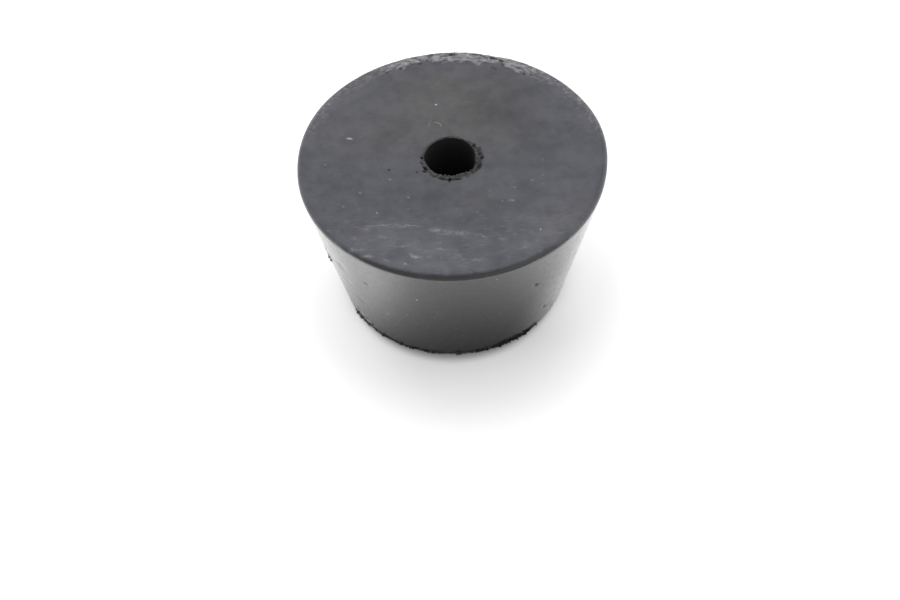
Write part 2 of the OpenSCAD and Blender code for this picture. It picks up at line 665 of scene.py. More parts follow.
        def at_rim(co: Vector) -> bool:
            """Whether a place lies in the torn stretch of the far rim."""
            turn = math.degrees(math.atan2(co.y, co.x))
            outer = math.hypot(co.x, co.y) > s.wide_r - self.rim_band - 0.6 * MM
            return outer and rim_from < turn < rim_to and co.z > s.height - 0.9 * MM

        def at_flash(co: Vector) -> bool:
            """Whether a place lies in the flash or just above it."""
            return math.hypot(co.x, co.y) > s.floor_r - 0.9 * MM and co.z < self.flash_band

        spots = [Vector((r * math.cos(math.radians(turn)), r * math.sin(math.radians(turn)), z)) * MM
                 for turn, r, z in self.fine_spots]

        def at_spot(co: Vector) -> bool:
            """Whether a place lies close to one of the fine spots."""
            return any((co - spot).length < self.fine_reach for spot in spots)

        with editing(self.piece):
            for wanted, cuts in ((at_spot, 3), (at_rim, 3), (at_flash, 2)):
                choose(self.piece, "FACE", wanted)
                bpy.ops.mesh.subdivide(number_cuts=cuts)

    def raise_rim(self) -> None:
        """Swells the far rim, where it was torn, so that it stands a little further out."""
        s = self.sizes
        at = Places(self.read("co"))
        out = strongest(self.far_rim, at.way) * MM
        band = smooth_step(2.6 * MM, 0.9 * MM, s.wide_r - at.r)
        band = band * smooth_step(3.6 * MM, 1.0 * MM, s.height - at.z)
        self.push_out(out * band)

    def raise_flash(self) -> None:
        """Draws the thin flash out from the foot of the side."""
        s = self.sizes
        at = Places(self.read("co"))
        ledge = smooth_step(0.0, 0.7 * s.flash_h, at.z) * smooth_step(1.5 * s.flash_h, s.flash_h, at.z)
        outer = at.r > s.floor_r - 0.8 * MM
        self.push(strongest(self.flash_arcs, at.turn) * ledge * outer, "NORMAL", self.flash_out)

    def lean_side(self) -> None:
        """Moves the foot of the side a little aside, so that the side leans, but not the recess."""
        s = self.sizes
        at = Places(self.read("co"))
        outer = smooth_step(s.recess_r + 1 * MM, s.floor_r - 1 * MM, at.r)
        self.push(outer * np.clip(1.0 - at.z / s.height, 0.0, 1.0), "X", self.foot_shift)

    def press_groove(self) -> None:
        """Presses the groove in front of the screw hole's mouth."""
        s = self.sizes
        at = Places(self.read("co"))
        off = np.abs(self.from_mouth(at) - (s.hole_r + s.mouth_w + 0.12 * MM))
        band = smooth_step(0.22 * MM, 0.03 * MM, off) * (at.z > s.height - 2 * s.mouth_depth)
        self.push(self.groove.weight(at.turn) * band, "NORMAL", -self.groove_depth)

    def press_nicks(self) -> None:
        """Presses every nick into the shell."""
        places = self.read("co")
        tree = KDTree(len(places))
        for index, place in enumerate(places):
            tree.insert(place, index)
        tree.balance()
        with editing(self.piece):
            bpy.ops.mesh.select_mode(type="VERT")
            for nick in self.nicks:
                nick.press(self.piece, tree)

    def read(self, name: str) -> np.ndarray:
        """The places ("co") or normals ("normal") of the piece's points, one row each."""
        flat = np.empty(len(self.piece.data.vertices) * 3)
        self.piece.data.vertices.foreach_get(name, flat)
        return flat.reshape(-1, 3)

    def write_layer(self, name: str, values: np.ndarray) -> None:
        """Stores one number for each point of the piece, for its finish to read."""
        layer = self.piece.data.attributes.new(name, "FLOAT", "POINT")
        layer.data.foreach_set("value", values.astype(np.float32))

    def zone_weights(self, at: Places) -> dict[Zone, np.ndarray]:
        """How strongly each point lies in each torn zone.

        Args:
            at: The points of the shell before it is roughened.

        Returns:
            For each zone, a weight from 0 to 1 for every point.
        """
        s = self.sizes
        wave = np.radians(at.turn)
        outer = at.r > (s.hole_r + s.floor_r) / 2
        ragged = 1 + 0.16 * np.sin(9 * wave + 1) + 0.12 * np.sin(23 * wave + 2) + 0.08 * np.sin(57 * wave)

        width = self.rim_band * ragged
        rim = strongest(self.rim_arcs, at.turn) * outer
        rim = rim * smooth_step(1.05 * width, 0.40 * width, s.wide_r - at.r)
        rim *= smooth_step(s.height - 0.5 * MM, s.height - 0.1 * MM, at.z)

        edge = s.hole_r + s.mouth_w + 0.12 * MM * (ragged - 1) / 0.3
        edge += total(self.ring_bends, at.way) * MM
        mouth = ~outer * smooth_step(edge + 0.15 * MM, edge - 0.05 * MM, self.from_mouth(at))
        mouth *= smooth_step(s.height - 0.9 * MM, s.height - 0.3 * MM, at.z)
        mouth *= 0.25 + 0.75 * (0.5 - 0.5 * np.cos(wave - math.radians(115)))

        rise = (0.50 + 0.80 * self.high_flash.weight(at.turn)) * MM * ragged
        flash = strongest(self.flash_arcs, at.turn) * outer
        flash = flash * smooth_step(rise + 0.45 * MM, rise - 0.30 * MM, at.z)
        return {Zone.RIM: rim, Zone.MOUTH: mouth, Zone.FLASH: flash}

    def mark_zones(self, at: Places) -> None:
        """Writes each zone as a vertex group, and what the finish needs as layers.

        Args:
            at: The points of the shell before it is roughened.
        """
        s = self.sizes
        weights = self.zone_weights(at)
        for zone, values in weights.items():
            self.group_points(zone.value, values)
        below = (s.height - at.z) / MM
        inward = s.wide_r - at.r
        # The screw hole's bore, which the finish paints near-black as painted shade.
        bore = (at.r < s.recess_r) * smooth_step(0.13, 0.22, below) * (at.z > s.recess_depth + 10 * TOUCH)
        # Painted light, partly dust: along these arcs the film reaches further down the rim's rounding, and
        # the rounding is made paler.
        dust_and_painted_light = total(self.dust_and_painted_light_rim, at.way)
        film_depth = 0.12 + 0.45 * dust_and_painted_light
        dust = dust_and_painted_light * (at.r > s.recess_r) * smooth_step(0.0, 0.07, below) * smooth_step(0.60, 0.20, below)
        worn = strongest(self.worn_rim, at.way)
        worn *= 0.5 * smooth_step(2.7 * MM, 1.1 * MM, inward) + 0.5 * smooth_step(1.5 * MM, 0.3 * MM, inward)
        worn *= smooth_step(0.7, 0.3, below)
        crumbly = 0.15 + total(self.crumbly, at.way)
        lip = smooth_step(0.25, 0.13, below)
        # The flash is painted near-black, partly its own torn black and partly painted shade of the gap
        # beneath it; nearer its left end only half as much, so that it is glossy and mirrors the floor.
        flash = weights[Zone.FLASH] * (0.50 + 0.50 * smooth_step(216, 232, at.turn))
        for name, values in (
            ("film", smooth_step(1.5 * film_depth, 0.5 * film_depth, below)),
            ("dust_and_painted_light", dust),
            ("worn", worn),
            ("crumbly", crumbly * weights[Zone.MOUTH] * lip),
            # The torn band's pale, partly painted sheen off its facets.
            ("torn_pale_and_sheen", weights[Zone.RIM] * smooth_step(0.16, 0.05, below)),
            ("torn_ring", weights[Zone.MOUTH] * lip),
            # Painted shade: the flash's gap and the bore, near-black.
            ("black_and_painted_shade", np.maximum(flash, bore)),
        ):
            self.write_layer(name, values)

    def stand_on_floor(self) -> None:
        """Lifts what the tears pushed below the floor back up to it."""
        with editing(self.piece):
            choose(self.piece, "VERT", lambda co: co.z < 0)
            bpy.ops.transform.resize(value=(1, 1, 0), center_override=ORIGIN)

    def close(self) -> None:
        """Shades the shell smooth, but keeps its sharp folds."""
        self.piece.vertex_groups.clear()
        pick(self.piece)
        bpy.ops.object.shade_smooth_by_angle(angle=math.radians(self.fold_angle))


# ---------------------------------------------------------------------------------------------
# The finish
# ---------------------------------------------------------------------------------------------


class Wire:
    """A value that runs through a node tree. Arithmetic on it adds the nodes that do the same."""

    def __init__(self, graph: "Graph", socket: bpy.types.NodeSocket) -> None:
        """Takes the nodes that the wire runs among, and the output that it comes from."""
        self.graph = graph
        self.socket = socket

    def also(self, output: str) -> "Wire":
        """Another output of the same node."""
        return Wire(self.graph, self.socket.node.outputs[output])

    def between(self, low: "Value", high: "Value") -> "Wire":
        """Runs smoothly from 0 where this wire is low to 1 where it is high."""
        inputs = dict(enumerate((self, low, high)))
        return self.graph.add("MapRange", inputs, interpolation_type="SMOOTHSTEP")

    def __add__(self, other: "Value") -> "Wire":
        """The sum of the two."""
        return self.graph.math("ADD", self, other)

    def __sub__(self, other: "Value") -> "Wire":
        """The difference of the two."""
        return self.graph.math("SUBTRACT", self, other)

    def __rsub__(self, other: "Value") -> "Wire":
        """What is left when this wire is taken from a number."""
        return self.graph.math("SUBTRACT", other, self)

    def __mul__(self, other: "Value") -> "Wire":
        """The product of the two."""
        return self.graph.math("MULTIPLY", self, other)

    def __or__(self, other: "Value") -> "Wire":
        """The greater of the two."""
        return self.graph.math("MAXIMUM", self, other)


Value = Union[float, tuple, Vector, Wire]


class Graph:
    """Adds nodes to one node tree, and wires them as they are added."""

    def __init__(self, tree: bpy.types.NodeTree) -> None:
        """Takes the tree to work on, and empties it."""
        self.tree = tree
        tree.nodes.clear()

    def node(self, kind: str, inputs: dict, **settings: object) -> bpy.types.Node:
        """Adds a node and feeds it.

        Args:
            kind: The node's type, without "ShaderNode".
            inputs: Wires and plain values, by the name or number of the input that each feeds.
            settings: Properties to set on the node.

        Returns:
            The new node.
        """
        made = self.tree.nodes.new("ShaderNode" + kind)
        for name, value in settings.items():
            setattr(made, name, value)
        for key, value in inputs.items():
            if isinstance(value, Wire):
                self.tree.links.new(value.socket, made.inputs[key])
            else:
                made.inputs[key].default_value = value
        return made

    def add(self, kind: str, inputs: dict, output: Union[int, str] = 0, **settings: object) -> Wire:
        """Adds a node like the node method, but gives one of its outputs as a wire."""
        return Wire(self, self.node(kind, inputs, **settings).outputs[output])

    def math(self, operation: str, *values: Value) -> Wire:
        """What a Math node makes of the values."""
        return self.add("Math", dict(enumerate(values)), operation=operation)

    def vector(self, operation: str, first: Value, second: Value = ORIGIN) -> Wire:
        """What a Vector Math node makes of two values."""
        inputs = {0: first, (3 if operation == "SCALE" else 1): second}
        output = "Value" if operation in ("LENGTH", "DISTANCE", "DOT_PRODUCT") else "Vector"
        return self.add("VectorMath", inputs, output, operation=operation)

    def noise(self, place: Wire, size: float, detail: float = 2.0, output: str = "Fac") -> Wire:
        """Noise of a grain size in the units of place."""
        return self.add("TexNoise", {"Vector": place, "Scale": 1 / size, "Detail": detail}, output)

    def mix(self, share: Value, first: Value, second: Value) -> Wire:
        """A colour that runs from first to second as share runs from 0 to 1."""
        return self.add("Mix", {0: share, 6: first, 7: second}, 2, data_type="RGBA")

    def bump(self, height: Wire, strength: float, distance: float, **under: Wire) -> Wire:
        """A normal tilted by a height, on top of another bump if one is given as Normal."""
        return self.add("Bump", {"Height": height, "Strength": strength, "Distance": distance, **under})


@dataclass(frozen=True)
class Patches:
    """A mask of uneven patches: noise of one grain size, which fades in from low to high."""

    size: float
    detail: float
    low: float
    high: float
    stretch: tuple[float, float, float] = (1.0, 1.0, 1.0)

    def drawn(self, graph: Graph, place: Wire) -> Wire:
        """The mask at a place, squeezed along each axis by the stretch."""
        if self.stretch != (1.0, 1.0, 1.0):
            place = graph.vector("MULTIPLY", place, self.stretch)
        return graph.noise(place, self.size, self.detail).between(self.low, self.high)


def grey(level: float) -> tuple[float, float, float, float]:
    """A neutral colour."""
    return (level, level, level, 1.0)


@dataclass(frozen=True)
class Mark:
    """A scuff, speck or tint on the surface.

    On the top, u and v are x and y, and turn is the way that the length runs, in degrees. On the
    side, u is the angle in degrees and v the height, and the length runs round the axis. Half the
    length and half the width are given. All lengths are in millimetres.
    """

    face: Face
    tone: Tone
    spread: Spread
    u: float
    v: float
    length: float
    width: float
    strength: float
    turn: float = 0.0

    def frame(self, sizes: FootSizes) -> tuple[float, Vector, Vector]:
        """Where the mark lies once the foot is turned about its axis to meet it.

        Args:
            sizes: The sizes of the moulding.

        Returns:
            The turn in radians, the mark's middle in the turned foot, and one over its half sizes.
        """
        deep = 2.0
        if self.face is Face.TOP:
            turn = math.radians(self.turn)
            middle = Matrix.Rotation(-turn, 3, "Z") @ Vector((self.u, self.v, sizes.height / MM))
            half = (self.length, self.width, deep)
        else:
            turn = math.radians(self.u)
            share = self.v * MM / sizes.height
            radius = (sizes.floor_r + (sizes.wide_r - sizes.floor_r) * share) / MM
            middle = Vector((radius, 0, self.v))
            half = (deep, self.length, self.width)
        return turn, middle, Vector([1 / value for value in half])


# Each row is a mark's place, half length, half width, strength and turn.
MARKS = {
    (Face.TOP, Tone.PALE, Spread.FLECK): (
        (-14.9, 4.65, 0.62, 0.24, 0.7, -4), (-2.0, 11.0, 0.19, 0.19, 1.0),
        (-9.0, -3.9, 0.24, 0.24, 0.25), (-13.25, -6.25, 0.30, 0.30, 0.17),
        (-10.8, -10.2, 0.18, 0.18, 0.45), (-6.4, -7.5, 0.20, 0.20, 0.35),
        (-6.4, -9.7, 0.22, 0.22, 0.10), (8.3, -8.9, 0.46, 0.24, 0.34, -8),
        (6.9, -9.0, 0.24, 0.24, 0.22), (11.85, -14.6, 0.24, 0.24, 0.50),
        (-18.4, -0.4, 0.18, 0.18, 0.35), (-2.0, -18.9, 0.20, 0.20, 0.15),
        (3.4, -10.7, 0.22, 0.22, 0.14), (5.2, -6.9, 0.22, 0.22, 0.12), (-15.6, -8.7, 0.30, 0.30, 0.14),
        (12.9, -4.3, 0.22, 0.22, 0.12),
    ),
    (Face.TOP, Tone.PALE, Spread.SCUFF): (
        (8.2, -8.9, 0.9, 0.6, 0.14), (-1.8, 6.9, 0.95, 0.16, 0.45, -40),
        (-3.05, 7.25, 1.9, 0.16, 0.12, 76), (8.5, -6.4, 0.55, 0.45, 0.20),
        (11.5, -5.25, 0.60, 0.30, 0.25, 30), (12.75, -6.0, 0.35, 0.30, 0.25),
        (13.0, -1.5, 0.50, 0.35, 0.18), (-10.2, -12.6, 4.4, 0.24, 0.22, -2),
        (-12.4, -12.9, 3.0, 0.26, 0.14, -6), (-6.4, -12.85, 2.8, 0.34, 0.24, -5),
        (-2.2, -14.0, 2.6, 0.40, 0.18, -8), (0.8, -14.5, 2.6, 0.50, 0.20, -6),
        (-0.6, -14.7, 1.6, 0.35, 0.13, -10), (3.6, -15.2, 1.8, 0.35, 0.16, -8),
        (6.5, -16.1, 1.2, 0.35, 0.14, -10), (-2.0, -17.3, 1.10, 0.40, 0.26, -14),
        (-5.6, -18.4, 1.20, 0.50, 0.36, -18), (-7.1, -16.5, 0.90, 0.50, 0.16),
        (-13.8, -16.8, 1.5, 0.38, 0.32, -3), (-12.0, -18.0, 1.4, 0.36, 0.32, -6),
        (-7.0, -19.9, 0.75, 0.30, 0.50), (-9.6, -19.0, 0.80, 0.35, 0.12, -25),
        (0.3, -18.7, 0.80, 0.50, 0.14), (3.0, -19.6, 1.30, 0.60, 0.16, 5),
        (9.4, -17.6, 1.60, 0.35, 0.18, 22), (11.6, -16.6, 0.50, 0.35, 0.20, 22),
        (-10.0, -14.6, 1.4, 0.50, 0.14, -10), (-14.0, -14.6, 1.2, 0.60, 0.12, -20),
        (-17.5, -13.2, 0.6, 0.24, 0.34, -52), (15.3, 14.6, 1.0, 0.60, 0.22, -45),
        (12.6, 16.5, 1.0, 0.5, 0.22, -38), (19.6, 10.0, 0.8, 0.5, 0.16, -62),
    ),
    (Face.TOP, Tone.PALE, Spread.PATCH): (
        (-8.0, -16.5, 13.0, 7.5, 0.50, -15), (12.5, -15.0, 10.0, 7.0, 0.52, 40),
        (1.0, -19.5, 11.0, 5.5, 0.38), (-14.0, 14.5, 8.0, 5.0, 0.15, 45), (-14.0, 5.0, 6.0, 5.0, 0.12),
        (0.0, 14.0, 6.0, 4.0, 0.08), (17.0, -6.0, 6.0, 9.0, 0.22), (-2.0, -14.2, 7.0, 1.4, 0.18, -9),
    ),
    (Face.TOP, Tone.SHADE, Spread.PATCH): (
        (8.5, 10.5, 7.5, 8.0, 0.36, -20), (12.5, 2.5, 6.0, 6.0, 0.20),
        (-5.0, -8.0, 9.0, 4.5, 0.22, -10), (4.0, -12.0, 6.0, 2.6, 0.26, -10),
        (-0.5, -16.2, 4.5, 1.3, 0.20, -6), (-17.0, -5.0, 5.0, 5.0, 0.14), (-8.0, 3.0, 4.0, 3.0, 0.10),
    ),
    (Face.TOP, Tone.WARM, Spread.PATCH): (
        (2.0, 9.0, 16.0, 15.0, 0.88), (-11.0, 6.0, 13.0, 11.0, 0.46), (-4.0, 15.5, 14.0, 9.0, 0.38),
        (3.0, -8.0, 4.5, 3.0, 0.35), (15.5, -13.0, 8.0, 6.0, 0.45, 40),
    ),
    # Two of these sit in pits on the top, as painted shade there; the others are dark specks.
    (Face.TOP, Tone.DARK, Spread.FLECK): (
        (-9.1, -2.0, 0.20, 0.12, 0.35), (-5.05, -2.65, 0.18, 0.14, 0.5), (-12.1, 2.6, 0.15, 0.12, 0.6),
        (-19.0, -0.5, 0.24, 0.14, 0.7),
    ),
    (Face.SIDE, Tone.PALE, Spread.FLECK): (
        (-105.7, 17.3, 0.24, 0.20, 0.8), (-122.0, 9.7, 0.50, 0.20, 0.35),
        (-111.4, 11.7, 0.30, 0.16, 0.35), (-75.8, 22.5, 0.22, 0.18, 0.6),
        (-99.8, 12.5, 0.20, 0.12, 0.10), (-119.5, 10.6, 0.22, 0.14, 0.25),
    ),
    (Face.SIDE, Tone.PALE, Spread.SCUFF): (
        (-72.5, 11.3, 0.80, 0.22, 0.20), (-144.0, 4.6, 0.8, 0.9, 0.45), (-142.2, 2.9, 0.9, 0.9, 0.70),
        (-139.2, 1.8, 1.1, 0.6, 0.70),
    ),
    # Most dark marks on the side sit at dents and at the nib, as painted shade there; the rest are dark
    # specks.
    (Face.SIDE, Tone.DARK, Spread.FLECK): (
        (-99.5, 12.95, 0.26, 0.11, 0.60), (-98.6, 12.65, 0.26, 0.11, 0.55),
        (-123.8, 7.2, 0.60, 0.12, 0.45), (-62.6, 15.1, 0.22, 0.20, 0.5), (-61.3, 14.1, 0.20, 0.18, 0.4),
        (-57.2, 15.7, 0.55, 0.26, 0.9), (-45.7, 5.5, 0.30, 0.30, 0.5), (-36.7, 2.0, 0.30, 0.20, 0.2),
    ),
    (Face.SIDE, Tone.DARK, Spread.SCUFF): (
        (-124.8, 6.7, 0.50, 0.25, 0.2), (-128.4, 17.0, 0.40, 0.22, 0.3),
        (-153.8, 13.9, 0.30, 0.60, 0.7),
    ),
}


@dataclass(frozen=True)
class RubberFinish:
    """Black moulded rubber: a film of dust on top, satin on the side, pale where it tore, partly as painted
    sheen. Its crevices, pits, flash and bore carry painted shade, and the rim's rounding at the sides and
    back painted light.
    """

    sizes: FootSizes
    black: tuple = grey(0.034)
    side_black: tuple = grey(0.020)
    dull_black: tuple = grey(0.044)
    film_thin: tuple = (0.0070, 0.0080, 0.0180, 1.0)
    film_thick: tuple = (0.1210, 0.1230, 0.1460, 1.0)
    warm_thin: tuple = (0.0110, 0.0095, 0.0085, 1.0)
    warm_thick: tuple = (0.1280, 0.1255, 0.1255, 1.0)
    pale: tuple = (0.400, 0.400, 0.410, 1.0)
    # The pale of torn and worn rubber, partly painted sheen off its rough facets.
    torn: tuple = (0.300, 0.290, 0.305, 1.0)
    torn_low: tuple = (0.125, 0.122, 0.130, 1.0)
    ring: tuple = grey(0.052)
    # Near-black: painted shade in crevices, cracks, pits, under the flash and in the bore, and the colour of
    # dark specks.
    shade_and_speck_black: tuple = grey(0.006)
    cloud: Patches = Patches(3.0, 3.0, 0.30, 0.70)
    mottle: Patches = Patches(0.9, 3.0, 0.25, 0.75)
    streaky: Patches = Patches(0.9, 4.0, 0.46, 0.72, (0.8, 2.2, 1.0))
    streaked: Patches = Patches(2.2, 2.0, 0.38, 0.62)
    dull: Patches = Patches(0.7, 4.0, 0.45, 0.70, (0.5, 0.5, 1.8))
    broken: Patches = Patches(0.40, 3.0, 0.36, 0.62)
    worn_streaks: Patches = Patches(0.75, 4.0, 0.44, 0.66, (1.1, 1.6, 1.0))
    worn_flecks: Patches = Patches(0.42, 4.0, 0.42, 0.64)
    fray: Patches = Patches(0.5, 4.0, 0.36, 0.64)
    dust_gap: float = 1.1
    dust_r: float = 0.13
    dust_bare: float = 0.60
    ripple_squeeze: tuple[float, float, float] = (0.35, 0.35, 1.6)
    unrolled_r: float = 11.0

    @staticmethod
    def warped(graph: Graph, place: Wire, size: float, shift: float) -> Wire:
        """The place, shifted a little by noise so that what is drawn there has an uneven edge."""
        centred = graph.vector("SUBTRACT", graph.noise(place, size, output="Color"), (0.5, 0.5, 0.5))
        return graph.vector("ADD", place, graph.vector("SCALE", centred, 2 * shift))

    @staticmethod
    def soft_mark_group() -> bpy.types.NodeTree:
        """Builds the node group that takes a place and draws one soft oval mark there, as a mask."""
        tree = bpy.data.node_groups.new("soft_mark", "ShaderNodeTree")
        graph = Graph(tree)
        for name, kind in (("Place", "Vector"), ("Turn", "Float"), ("Middle", "Vector"),
                           ("Per Half Size", "Vector"), ("Edge", "Float")):
            tree.interface.new_socket(name, in_out="INPUT", socket_type=f"NodeSocket{kind}")
        tree.interface.new_socket("Mask", in_out="OUTPUT", socket_type="NodeSocketFloat")
        given = tree.nodes.new("NodeGroupInput").outputs
        place, turn, middle, per_half, edge = (Wire(graph, socket) for socket in given[:5])
        turned = graph.add("VectorRotate", {"Vector": place, "Angle": turn * -1.0}, rotation_type="Z_AXIS")
        away = graph.vector("MULTIPLY", graph.vector("SUBTRACT", turned, middle), per_half)
        mask = graph.vector("LENGTH", away).between(1.0, 1.0 - edge)
        tree.links.new(mask.socket, tree.nodes.new("NodeGroupOutput").inputs["Mask"])
        return tree

    def mark_masks(self, graph: Graph, place: Wire) -> dict[tuple, Wire]:
        """Adds every mark, and joins those of one tone and spread.

        Args:
            graph: The rubber's nodes.
            place: The place on the foot, in millimetres.

        Returns:
            A mask for each tone and spread.
        """
        group = self.soft_mark_group()
        warps = {Spread.FLECK: (0.45, 0.22), Spread.SCUFF: (0.90, 0.55), Spread.PATCH: (4.0, 3.0)}
        shifted = {spread: self.warped(graph, place, *warp) for spread, warp in warps.items()}
        masks = {}
        for (face, tone, spread), rows in MARKS.items():
            for mark in (Mark(face, tone, spread, *row) for row in rows):
                turn, middle, per_half = mark.frame(self.sizes)
                inputs = {"Place": shifted[spread], "Turn": turn, "Middle": middle,
                          "Per Half Size": per_half, "Edge": spread.value}
                mask = graph.add("Group", inputs, node_tree=group) * mark.strength
                joined = masks.get((tone, spread))
                if joined is not None:
                    mask = joined + mask if spread is Spread.PATCH else joined | mask
                masks[tone, spread] = mask
        return masks

    def dust(self, graph: Graph, place: Wire) -> Wire:
        """Small round flecks of dust, in some of the cells of a scattered pattern."""
        inputs = {"Vector": place, "Scale": 1 / self.dust_gap}
        cells = graph.add("TexVoronoi", inputs, "Distance", feature="F1")
        radius = self.dust_r / self.dust_gap
        chance = graph.add("SeparateColor", {0: cells.also("Color")})
        return cells.between(radius, 0.4 * radius) * chance.between(self.dust_bare, 1.0)

    def material(self) -> bpy.types.Material:
        """Builds the rubber's material."""
        made = bpy.data.materials.new("moulded_rubber")
        made.use_nodes = True
        graph = Graph(made.node_tree)
        mix = graph.mix
        place = graph.vector("SCALE", graph.add("TexCoord", {}, "Object"), 1 / MM)
        x = graph.add("SeparateXYZ", {0: place})
        y, z = x.also("Y"), x.also("Z")
        film_layer, dust_and_painted_light, worn_layer, torn, ring, crumbly, black_and_shade_layer, sunk = (
            graph.add("Attribute", {}, "Fac", attribute_name=name)
            for name in ("film", "dust_and_painted_light", "worn", "torn_pale_and_sheen", "torn_ring", "crumbly", "black_and_painted_shade", "sunk")
        )
        masks = self.mark_masks(graph, place)

        # The film of dust on top, in clouds of a few sizes, lifted further as painted light on the rim's
        # rounding at the sides and back.
        mottle = self.mottle.drawn(graph, place)
        film = self.cloud.drawn(graph, place) * 0.34 + mottle * 0.21
        film = film + graph.noise(place, 0.22) * 0.24 - 0.01
        streaky = self.streaky.drawn(graph, place) * self.streaked.drawn(graph, place)
        film = film + streaky * (y.between(-8.0, -14.0) * 0.38 + 0.12) + dust_and_painted_light * 0.62
        film = (film + masks[Tone.PALE, Spread.PATCH] - masks[Tone.SHADE, Spread.PATCH]) * 0.5
        warm = mix(film, self.warm_thin, self.warm_thick)
        on_top = mix(masks[Tone.WARM, Spread.PATCH], mix(film, self.film_thin, self.film_thick), warm)

        # The bare rubber under it, darker on the side, with dull streaks.
        top_z = self.sizes.height / MM
        dull = self.dull.drawn(graph, place)
        bare = mix(z.between(top_z - 1.2, top_z - 0.5), self.side_black, self.black)
        colour = mix(film_layer, mix(dull * 0.36, bare, self.dull_black), on_top)

        # Scuffs, flecks and specks; the dark marks are partly painted shade at dents, pits and the nib.
        broken = self.broken.drawn(graph, place) * 0.95 + 0.20
        scuffs = masks[Tone.PALE, Spread.SCUFF] * broken | masks[Tone.PALE, Spread.FLECK]
        scuffs = scuffs | (film_layer * 0.16 + 0.05) * self.dust(graph, place)
        colour = mix(scuffs, colour, self.pale)
        dark = masks[Tone.DARK, Spread.FLECK] | masks[Tone.DARK, Spread.SCUFF] * broken
        colour = mix(dark, colour, self.shade_and_speck_black)

        # The rim unrolled at half its radius, as the way round, the distance from the axis and the height.
        # Noise that is read there is drawn out along the rim.
        from_axis = graph.vector("LENGTH", graph.vector("MULTIPLY", place, (1, 1, 0)))
        way_round = graph.math("ARCTAN2", y, x) * self.unrolled_r
        round_rim = graph.add("CombineXYZ", {"X": way_round, "Y": from_axis, "Z": z})

        # Where the far rim is worn, and where it tore, in shreds and cracks. Their pale is partly the worn
        # and torn rubber's own grey and partly painted sheen off its rough facets.
        worn = self.worn_streaks.drawn(graph, self.warped(graph, place, 1.6, 0.9))
        worn = worn * (self.worn_flecks.drawn(graph, round_rim) * 0.32 + 0.16)
        worn = worn + graph.noise(round_rim, 1.8, 4.0) * 0.16
        colour = mix(worn * worn_layer, colour, self.torn)
        shred = graph.noise(round_rim, 0.4, 3.0) * 0.45 + graph.noise(round_rim, 1.1, 4.0) * 0.55
        shred = (shred + torn * 0.34).between(0.55, 0.78) * torn.between(0.0, 0.30) * (torn * 0.50 + 0.48)
        colour = mix(shred, colour, mix(self.fray.drawn(graph, round_rim), self.torn_low, self.torn))

        # The crumbly ring round the screw hole, then painted shade: in the gaps between its crumbs, in
        # cracks, in sunk places, on the black flash and in the bore.
        crumb_gap_shade = (graph.noise(place, 0.34, 3.0) + crumbly * -0.13).between(0.50, 0.36) * ring
        colour = mix(crumb_gap_shade * 0.85, mix(ring, colour, self.ring), self.shade_and_speck_black)
        # Painted shade in the cracks of the torn band.
        crack_shade = graph.math("ABSOLUTE", graph.noise(round_rim, 1.1) - 0.5)
        colour = mix(crack_shade.between(0.030, 0.008) * torn * 0.6, colour, self.shade_and_speck_black)
        # Painted shade where the surface sank into pits, dents and tears, less on the torn band.
        sunk = (graph.noise(place, 0.3) * 0.20 + sunk).between(0.20, 0.34) * (torn * -0.35 + 1.0)
        colour = mix(sunk, colour, self.shade_and_speck_black)
        # Near-black on the flash, partly its own torn black and partly painted shade of the gap beneath it,
        # and painted shade in the screw hole's bore.
        deep = (graph.noise(place, 0.6, 3.0) * 2.0 + black_and_shade_layer).between(1.40, 1.60)
        deep = deep * black_and_shade_layer.between(0.0, 0.10)
        colour = mix(deep, colour, self.shade_and_speck_black)

        rough = film_layer * 0.24 + mottle * 0.05 + dull * 0.05 + 0.20
        rough = rough + scuffs * film_layer * 0.2 + (torn | ring | deep) * 0.3 + deep * 0.30

        # A fine grain everywhere, and faint rings left by the mould on the side.
        grain = graph.bump(graph.noise(place, 0.14), 0.2, 0.02 * MM)
        ripple = graph.noise(graph.vector("MULTIPLY", place, self.ripple_squeeze), 0.8, 3.0)
        normal = graph.bump(ripple, 0.5, 0.018 * MM, Normal=grain)
        inputs = {"Base Color": colour, "Roughness": rough, "Normal": normal}
        graph.node("OutputMaterial", {"Surface": graph.add("BsdfPrincipled", inputs)})
        return made

    def dress(self, piece: bpy.types.Object) -> None:
        """Gives a piece the rubber all over."""
        piece.data.materials.clear()
        piece.data.materials.append(self.material())


# ---------------------------------------------------------------------------------------------
# The studio
# ---------------------------------------------------------------------------------------------


